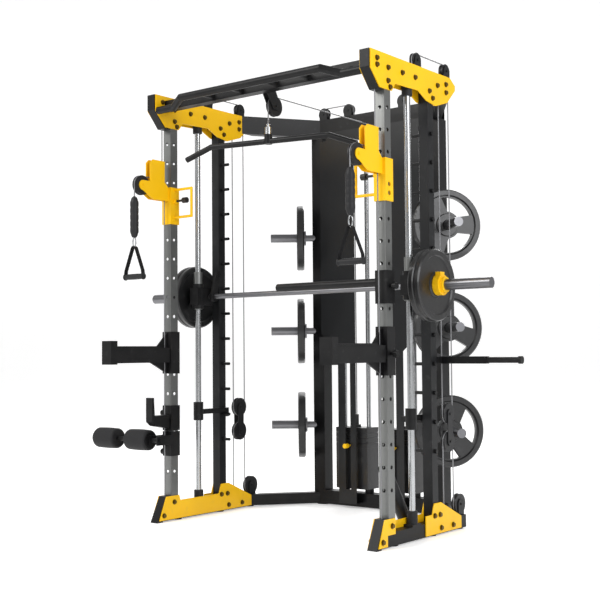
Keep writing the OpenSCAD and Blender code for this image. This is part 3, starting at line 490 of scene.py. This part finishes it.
NODE_FINISH = {
    "yellow": [
        "foot_plates", "top_plates", "trolley_left", "trolley_right", "bar_collars",
        "selector_pin_left", "selector_pin_right",
    ],
    "black": [
        "bases", "end_caps", "hook_pins", "top_beams", "pullup_frame", "rear_columns",
        "rear_top_beams", "rear_base_beams", "spotter_arms", "j_hook", "roller_bar", "anchor_bar",
        "side_handle", "landmine_base", "carriages", "bar_hooks", "safety_stop_left",
        "safety_stop_right", "lat_bar",
    ],
    "graphite": ["uprights", "pulley_brackets", "landmine"],
    "post": ["posts", "bearing_sleeves"],
    "chrome": ["guide_rods", "stack_rods", "lat_hanger"],
    "satin": ["smith_bar", "storage_pegs"],
    "bolt": ["frame_bolts"],
    "rubber": ["floor_pads", "rod_mounts"],
    "iron": ["stored_plates", "bar_plates"],
    "stack": ["stack_plates", "stack_head_left", "stack_head_right"],
    "plastic": [
        "guide_pulleys", "low_pulleys", "lat_pulley", "trolley_pulley_left", "trolley_pulley_right",
        "pull_pin_left", "pull_pin_right", "float_left", "float_right",
    ],
    "panel": ["stack_guards"],
}


class SmithOperator:
    bl_options = {"REGISTER"}


COATS = {}


class SMITH_OT_finish_frame(SmithOperator, bpy.types.Operator):
    """Gives every node of the frame its finish"""

    bl_idname = "smith.finish_frame"
    bl_label = "Finish Frame"

    def execute(self, context):
        COATS.update(finishes(context.scene.smith_look))
        for coat, nodes in NODE_FINISH.items():
            for node in nodes:
                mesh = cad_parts[node].data
                mesh.materials.clear()
                mesh.materials.append(COATS[coat])
        return {"FINISHED"}


# ---- Lines


def line_piece(name, points, node, body, look):
    """Run of a line that stays with one body."""
    builder = bmesh.new()
    sweep(builder, points, look.line_radius, LINE_SIDES)
    return finish_mesh(name, builder, COATS["rope"], body, node)


def stretch_line(name, start, end, node, look):
    """Straight run between two bodies: a tube with only its two end rings, set on no body."""
    builder = bmesh.new()
    sweep(builder, [start, end], look.line_radius, LINE_SIDES)
    piece = finish_mesh(name, builder, COATS["rope"], None, node)
    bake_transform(piece)
    return piece


class SideLine:
    """The line of one side, from its handle to its stack."""

    def __init__(self, side, sign, look):
        self.side, self.sign, self.look = side, sign, look
        self.node = "cable_" + side
        self.x = middle("trolley_pulley_" + side).x
        self.small_wheel_z = high(self.node).z - look.line_radius - SMALL_TURN
        self.beam_top = high("top_beams").z

    def still(self, name, points, body):
        line_piece(f"line_{name}_{self.side}", points, self.node, body, self.look)

    def taut(self, name, start, end):
        stretch_line(f"line_{name}_{self.side}", start, end, self.node, self.look)

    def round_trolley(self):
        """From the handle over the trolley and down the post, and from the nose down to the trolley."""
        x, trolley, handle = self.x, "trolley_" + self.side, "handle_" + self.side
        wheel = middle("trolley_pulley_" + self.side)
        hang_y = middle(handle).y
        turn_r = wheel.y - hang_y
        shoe_y = wheel.y + SHOE_BEHIND
        run_y = shoe_y + turn_r
        over_wheel = arc_points((x, wheel.y, wheel.z), turn_r, 180, 90)
        over_shoe = arc_points((x, shoe_y, wheel.z), turn_r, 90, 0)
        self.still("over_trolley", over_wheel + over_shoe, trolley)
        self.taut("to_handle", (x, hang_y, wheel.z), (x, hang_y, high(handle).z))
        self.taut("to_foot", (x, run_y, FOOT_BLOCK_TOP), (x, run_y, wheel.z))
        nose_y = low("posts").y - NOSE_RUN
        nose_z = self.beam_top - NOSE_ANCHOR
        self.taut("to_nose", (x, nose_y, nose_z), (x, nose_y, high(trolley).z))

    def round_float(self):
        """Over the top beam, down round the floating block and under the low wheel."""
        x, block_body = self.x, "float_" + self.side
        block, low_wheel = middle(block_body), middle("low_pulleys")
        block_r = low_wheel.y - block.y - LINE_TURN
        upper_z = high(block_body).z - FLOAT_END
        lower_z = low(block_body).z + FLOAT_END
        wheel_z = self.small_wheel_z
        front_y = low("guide_pulleys").y + SMALL_WHEEL
        rear_y = block.y + block_r - SMALL_TURN
        over_beam = [Vector((x, front_y - SMALL_TURN, self.beam_top))]
        over_beam += arc_points((x, front_y, wheel_z), SMALL_TURN, 180, 90)
        over_beam += arc_points((x, rear_y, wheel_z), SMALL_TURN, 90, 0)
        self.still("over_beam", over_beam, "frame")
        back, front = block.y + block_r, block.y - block_r
        beam_foot, base_top = low("top_beams").z, high("bases").z
        self.taut("down", (x, back, wheel_z), (x, back, upper_z))
        self.taut("anchor_top", (x, front, beam_foot), (x, front, upper_z))
        self.still("under_block", arc_points((x, block.y, upper_z), block_r, 180, 360), block_body)
        self.still("over_block", arc_points((x, block.y, lower_z), block_r, 0, 180), block_body)
        self.taut("anchor_base", (x, front, base_top), (x, front, lower_z))
        self.taut("to_low", (x, back, low_wheel.z), (x, back, lower_z))
        under_low = arc_points((x, low_wheel.y, low_wheel.z), block_r, 180, 270)
        under_low.append(Vector((x, high("bases").y, low_wheel.z - block_r)))
        self.still("under_low", under_low, "frame")

    def round_stack(self):
        """From the stack over the rear beam into the column."""
        stack = "stack_head_" + self.side
        head, wheel_z = middle(stack), self.small_wheel_z
        column_x = self.sign * (high("rear_columns").x - COLUMN_HALF)
        inner_x, outer_x = head.x + self.sign * SMALL_TURN, column_x - self.sign * SMALL_TURN
        up, down = (180, 0) if self.sign > 0 else (0, 180)
        over_stack = arc_points((inner_x, head.y, wheel_z), SMALL_TURN, up, 90, "XZ")
        over_stack += arc_points((outer_x, head.y, wheel_z), SMALL_TURN, 90, down, "XZ")
        over_stack.append(Vector((column_x, head.y, self.beam_top)))
        self.still("over_stack", over_stack, "frame")
        self.taut("to_stack", (head.x, head.y, wheel_z), (head.x, head.y, high(stack).z))


def lat_line(look):
    """From the lat bar's hanger over its wheel to the rear beam."""
    wheel, hanger = middle("lat_pulley"), middle("lat_hanger")
    turn_r = wheel.y - hanger.y
    over = arc_points((0, wheel.y, wheel.z), turn_r, 180, 90)
    over.append(Vector((0, high("lat_cable").y, wheel.z + turn_r)))
    line_piece("lat_line_over", over, "lat_cable", "frame", look)
    start, end = (0, hanger.y, wheel.z), (0, hanger.y, high("lat_hanger").z)
    stretch_line("lat_line_down", start, end, "lat_cable", look)


class SMITH_OT_string_lines(SmithOperator, bpy.types.Operator):
    """Strings the lines of both sides and of the lat bar"""

    bl_idname = "smith.string_lines"
    bl_label = "String Lines"

    def execute(self, context):
        look = context.scene.smith_look
        for side, sign in SIDES:
            line = SideLine(side, sign, look)
            line.round_trolley()
            line.round_float()
            line.round_stack()
        lat_line(look)
        return {"FINISHED"}


# ---- Foam rollers


def roller_profile(radius, crown):
    """Half section of a foam roller: a bored end ring, round shoulders and a crowned face."""
    ring = [(ROLLER_BORE, 0.004), (radius * 0.72, 0.0025), (radius * 0.80, 0.0)]
    for i in range(9):
        a = math.pi / 2 * i / 8
        around = radius - ROLLER_SHOULDER + ROLLER_SHOULDER * math.sin(a)
        ring.append((around, ROLLER_SHOULDER - ROLLER_SHOULDER * math.cos(a)))
    face = []
    for i in range(1, 12):
        t = i / 12
        along = ROLLER_SHOULDER + (ROLLER_LENGTH - 2 * ROLLER_SHOULDER) * t
        face.append((radius + crown * math.sin(math.pi * t), along))
    return ring + face + [(r, ROLLER_LENGTH - along) for r, along in reversed(ring)]


class SMITH_OT_dress_rollers(SmithOperator, bpy.types.Operator):
    """Builds the two foam rollers with rounded shoulders and end rings"""

    bl_idname = "smith.dress_rollers"
    bl_label = "Dress Rollers"

    def execute(self, context):
        crown = context.scene.smith_look.foam_crown
        lo, hi, axis = low("rollers"), high("rollers"), middle("rollers")
        radius = (hi.z - lo.z) / 2 - crown
        for name, start in (("outer", lo.x), ("inner", hi.x - ROLLER_LENGTH)):
            builder = bmesh.new()
            lathe(builder, roller_profile(radius, crown), (start, axis.y, axis.z), (1, 0, 0), 56)
            piece = finish_mesh(
                "foam_roller_" + name, builder, COATS["foam"], "rollers", "rollers",
            )
        return {"FINISHED"}


# ---- Handles


def drop_mesh(foot, length):
    """Moulded drop with shallow waists and a ferrule at its top."""
    builder = bmesh.new()
    profile = [(0.0, 0.0), (0.010, 0.0)]
    for i in range(41):
        t = i / 40
        shoulder = math.sin(math.pi / 2 * min(1.0, 7.0 * t, 7.0 * (1 - t)))
        waist = WAIST_DEPTH * math.sin(math.pi * DROP_WAISTS * t) ** 8
        radius = DROP_END_RADIUS + (DROP_RADIUS - DROP_END_RADIUS) * shoulder - waist
        profile.append((radius, length * (0.01 + 0.97 * t)))
    profile += [(0.007, length * 0.985), (0.0065, length), (0.0, length)]
    lathe(builder, profile, foot, (0, 0, 1), 36)
    return builder


def link_mesh(centre, turns=32):
    """Oval snap link."""
    builder = bmesh.new()
    loop = []
    for i in range(turns + 1):
        a = 2 * math.pi * i / turns
        offset = Vector((LINK_HALF_WIDTH * math.cos(a), 0, LINK_HALF_HEIGHT * math.sin(a)))
        loop.append(Vector(centre) + offset)
    sweep(builder, loop, LINK_WIRE, 10, capped=False)
    return builder


def strap_mesh(x, y, grip_z, apex, half):
    """Woven strap from one end of the grip over the link to the other."""
    builder = bmesh.new()
    left = [
        (-half, grip_z), (-half + 0.004, grip_z + 0.030), (-0.012, apex - 0.004), (-0.006, apex + 0.002),
    ]
    right = [(-along, z) for along, z in reversed(left)]
    route = [Vector((x + along, y, z)) for along, z in left + [(0, apex + 0.004)] + right]
    rows = []
    for i, point in enumerate(route):
        ahead = (route[min(i + 1, len(route) - 1)] - route[max(i - 1, 0)]).normalized()
        out = Vector((-ahead.z, 0, ahead.x))
        rows.append([
            builder.verts.new(point + out * STRAP_THICKNESS * t + Vector((0, STRAP_HALF_WIDTH * w, 0)))
            for t, w in ((-0.5, -1), (0.5, -1), (0.5, 1), (-0.5, 1))
        ])
    for one, two in zip(rows, rows[1:]):
        for k in range(4):
            builder.faces.new((one[k], one[(k + 1) % 4], two[(k + 1) % 4], two[k]))
    builder.faces.new(list(reversed(rows[0])))
    builder.faces.new(rows[-1])
    return builder


def grip_mesh(centre):
    """Ribbed grip with a disc at each end."""
    builder = bmesh.new()
    edge = 0.002
    disc = [
        (0.0, DISC_THICKNESS), (0.0150, DISC_THICKNESS), (0.0168, DISC_THICKNESS - edge), (0.0168, edge),
        (0.0135, 0.0),
    ]
    profile = [(radius, -GRIP_HALF - out) for radius, out in disc]
    for i in range(25):
        t = -GRIP_HALF + 0.004 + (2 * GRIP_HALF - 0.008) * i / 24
        rib = GRIP_RIB if i % 2 else -GRIP_RIB
        profile.append((GRIP_RADIUS + rib - GRIP_CROWN * (t / GRIP_HALF) ** 2, t))
    profile += [(radius, GRIP_HALF + out) for radius, out in reversed(disc)]
    lathe(builder, profile, centre, (1, 0, 0), 32)
    return builder


class SMITH_OT_build_handles(SmithOperator, bpy.types.Operator):
    """Builds the strap handles with their drops, links and ribbed grips"""

    bl_idname = "smith.build_handles"
    bl_label = "Build Handles"

    def execute(self, context):
        for side, _ in SIDES:
            self.build(side)
        return {"FINISHED"}

    @staticmethod
    def build(side):
        node = "handle_" + side
        lo, hi, centre = low(node), high(node), middle(node)
        x, y = centre.x, centre.y
        grip_z = lo.z + DISC_RADIUS
        apex = grip_z + APEX_ABOVE_GRIP
        foot = apex + DROP_ABOVE_APEX
        strap_half = (hi.x - lo.x) / 2 - 0.006

        def put(name, builder, coat, smooth=True, bevel=0.0):
            finish_mesh(f"{name}_{side}", builder, COATS[coat], node, node, smooth, bevel)

        put("drop_sleeve", drop_mesh((x, y, foot), hi.z - foot), "grip")
        put("snap_link", link_mesh((x, y, apex + 0.024)), "chrome")
        strap = strap_mesh(x, y, grip_z, apex, strap_half)
        put("strap", strap, "strap", smooth=False, bevel=0.0006)
        put("grip", grip_mesh((x, y, grip_z)), "grip")


# ---- Stage


def area_light(name, place, target, size, power, colour=(1, 1, 1)):
    lamp = bpy.data.lights.new(name, "AREA")
    lamp.shape, lamp.size, lamp.energy, lamp.color = "SQUARE", size, power, colour
    light = bpy.data.objects.new(name, lamp)
    bpy.context.scene.collection.objects.link(light)
    light.location = place
    light.rotation_euler = (Vector(target) - Vector(place)).to_track_quat("-Z", "Y").to_euler()
    return light


def floor_profile():
    """Section of the floor, front to back: it turns up into the wall on a quarter circle."""
    profile = [(-FLOOR_FRONT, 0.0), (FLOOR_BACK - WALL_CURVE, 0.0)]
    for i in range(1, 13):
        a = math.pi / 2 * i / 12
        profile.append((
            FLOOR_BACK - WALL_CURVE + WALL_CURVE * math.sin(a), WALL_CURVE - WALL_CURVE * math.cos(a),
        ))
    return profile + [(FLOOR_BACK, WALL_HEIGHT)]


def floor_finish():
    paint = Paint("studio_floor", (0.86, 0.86, 0.86), 0.7)
    haze = paint.noise(0.8, 3.0)
    paint.set("Base Color", paint.blend(haze, (0.84, 0.84, 0.84), (0.88, 0.88, 0.88)))
    paint.set("Emission Color", (1, 1, 1, 1))
    paint.set("Emission Strength", 0.38)
    return paint.material


class SMITH_OT_set_stage(SmithOperator, bpy.types.Operator):
    """Sets the floor, the lights and the camera"""

    bl_idname = "smith.set_stage"
    bl_label = "Set Stage"

    def execute(self, context):
        self.floor()
        area_light("key_light", (-2.2, -5.0, 5.2), LIGHT_TARGET, 3.6, 300, (1.0, 0.99, 0.97))
        area_light("side_light", (5.5, -1.5, 3.4), LIGHT_TARGET, 3.2, 190, (0.97, 0.98, 1.0))
        area_light("back_light", (-2.0, 5.5, 4.6), LIGHT_TARGET, 3.4, 220)
        self.world(context)
        self.camera(context)
        return {"FINISHED"}

    @staticmethod
    def floor():
        builder = bmesh.new()
        turn = Matrix.Rotation(math.radians(CAMERA["azimuth"]), 3, "Z")
        ends = (-FLOOR_WIDTH / 2, FLOOR_WIDTH / 2)
        rows = [[builder.verts.new(turn @ Vector((x, y, z))) for x in ends] for y, z in floor_profile()]
        for one, two in zip(rows, rows[1:]):
            builder.faces.new((one[0], one[1], two[1], two[0]))
        finish_mesh("studio_floor", builder, floor_finish())

    @staticmethod
    def world(context):
        world = bpy.data.worlds.new("studio")
        world.use_nodes = True
        background = world.node_tree.nodes["Background"]
        background.inputs["Color"].default_value = (1, 1, 1, 1)
        background.inputs["Strength"].default_value = 0.50
        context.scene.world = world
        context.scene.view_settings.view_transform = "Standard"

    @staticmethod
    def camera(context):
        azimuth, pitch = math.radians(CAMERA["azimuth"]), math.radians(CAMERA["pitch"])
        level = math.cos(pitch)
        ahead = Vector((-math.sin(azimuth) * level, math.cos(azimuth) * level, math.sin(pitch)))
        right = Vector((math.cos(azimuth), math.sin(azimuth), 0))
        up = right.cross(ahead)
        roll = CAMERA["roll"]
        tilted = (right * math.cos(roll) + up * math.sin(roll)).normalized()
        upright = tilted.cross(ahead)
        lens = bpy.data.cameras.new("studio_camera")
        lens.sensor_width, lens.lens = CAMERA["sensor"], CAMERA["lens"]
        camera = bpy.data.objects.new("studio_camera", lens)
        context.scene.collection.objects.link(camera)
        basis = Matrix((tilted, upright, -ahead)).transposed().to_4x4()
        basis.translation = Vector(CAMERA["place"]) + Vector((0, middle("posts").y, 0))
        camera.matrix_world = basis
        context.scene.camera = camera


class SMITH_PT_machine(bpy.types.Panel):
    """Lists the steps in the sidebar"""

    bl_label = "Smith Machine"
    bl_space_type = "VIEW_3D"
    bl_region_type = "UI"
    bl_category = "Smith Machine"

    def draw(self, context):
        for prop in ("accent", "frame_coat", "upright_coat", "post_metal", "line_radius", "foam_crown"):
            self.layout.prop(context.scene.smith_look, prop)
        for operator in OPERATORS:
            self.layout.operator(operator.bl_idname)


OPERATORS = (
    SMITH_OT_finish_frame,
    SMITH_OT_string_lines,
    SMITH_OT_dress_rollers,
    SMITH_OT_build_handles,
    SMITH_OT_set_stage,
)
CLASSES = (SmithMachineLook, *OPERATORS, SMITH_PT_machine)


def register():
    for cls in CLASSES:
        bpy.utils.register_class(cls)
    bpy.types.Scene.smith_look = bpy.props.PointerProperty(type=SmithMachineLook)


def unregister():
    del bpy.types.Scene.smith_look
    for cls in reversed(CLASSES):
        bpy.utils.unregister_class(cls)


def main():
    register()
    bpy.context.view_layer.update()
    for operator in OPERATORS:
        family, name = operator.bl_idname.split(".")
        getattr(getattr(bpy.ops, family), name)()


if __name__ == "__main__":
    main()
